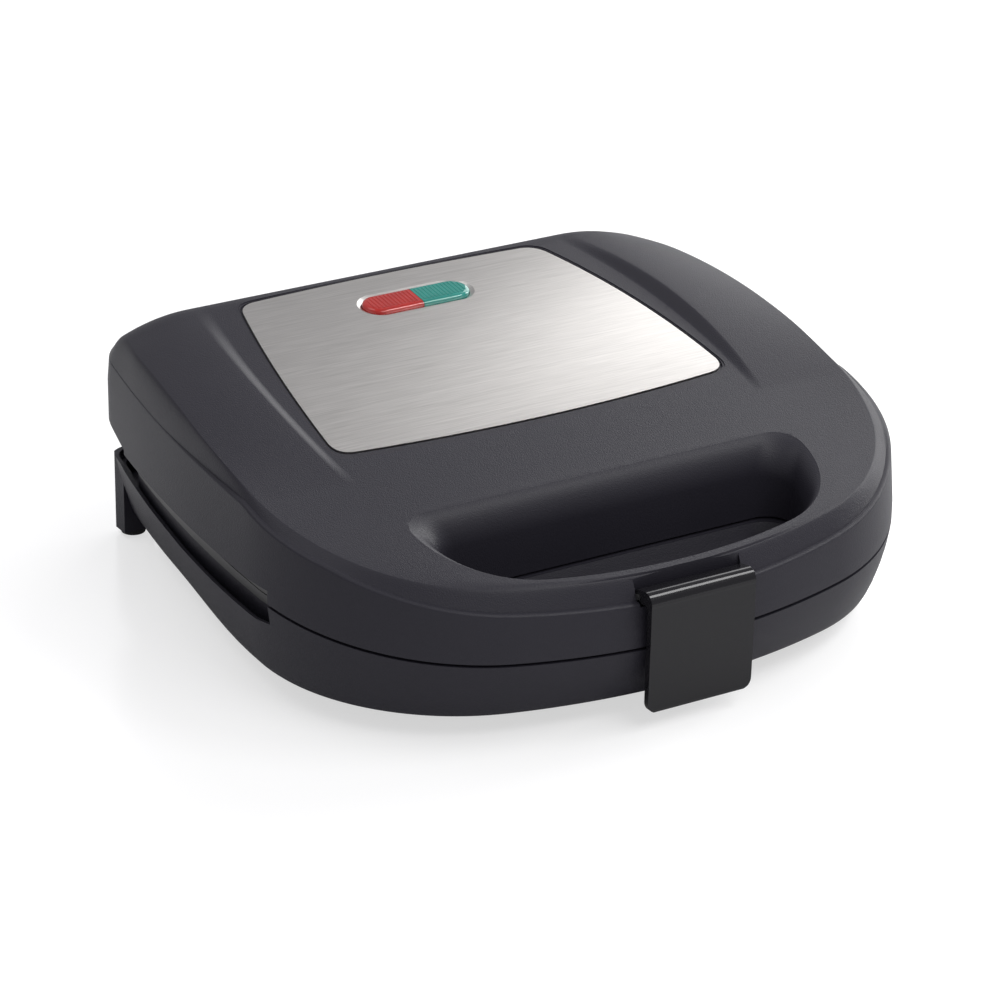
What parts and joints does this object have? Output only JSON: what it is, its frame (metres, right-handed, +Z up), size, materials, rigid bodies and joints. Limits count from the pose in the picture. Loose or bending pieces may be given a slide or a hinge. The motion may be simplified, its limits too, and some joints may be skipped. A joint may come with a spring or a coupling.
{
  "type": "sandwich toaster",
  "caption": "Closed countertop sandwich toaster with a hinged wedge-shaped lid, facing non-stick plates, an oval finger pocket and a front latch.",
  "frame": {"origin": "centre of the bounding box in plan, at the underside of the feet", "axes": "+Z up, -Y towards the latch and the user, +X to the user's right"},
  "size_m": [0.23, 0.224, 0.0827],
  "materials": {
    "shell": "fine textured satin",
    "gloss": "polished",
    "plate": "dark non-stick coating",
    "element": "heat-tinted tube",
    "sheet": "plain sheet",
    "screw": "zinc plated",
    "rubber": "matte",
    "white": "ceramic-filled",
    "pin": "drawn wire",
    "panel": "brushed along X",
    "red_lens": "ribbed translucent",
    "green_lens": "ribbed translucent",
    "lamp": "clear"
  },
  "bodies": {
    "base": {"base_shell": "shell", "base_grip_deck": "shell", "lower_plate": "plate", "lower_element": "element", "lower_reflector": "sheet", "lower_plate_screws": "screw", "rubber_feet": "rubber", "cord_gland": "rubber", "terminal_block": "white", "hinge_pin_left": "pin", "hinge_pin_right": "pin"},
    "lid": {"lid_shell": "shell", "lid_grip_cover": "shell", "steel_panel": "panel", "power_lens": "red_lens", "ready_lens": "green_lens", "lamp_holder": "white", "neon_lamps": "lamp", "upper_plate": "plate", "upper_element": "element", "upper_reflector": "sheet", "upper_plate_screws": "screw", "thermostat": "white", "thermal_fuse": "screw", "latch_pin": "pin"},
    "latch": {"latch_clip": "gloss"}
  },
  "joints": [
    {"name": "lid_hinge", "type": "hinge", "parent": "base", "child": "lid", "pos_m": [0, 0.104, 0.0365], "axis": [-1, 0, 0], "range_deg": [0, 100]},
    {"name": "latch_hinge", "type": "hinge", "parent": "lid", "child": "latch", "pos_m": [0, -0.1042, 0.0434], "axis": [-1, 0, 0], "range_deg": [0, 80]}
  ]
}
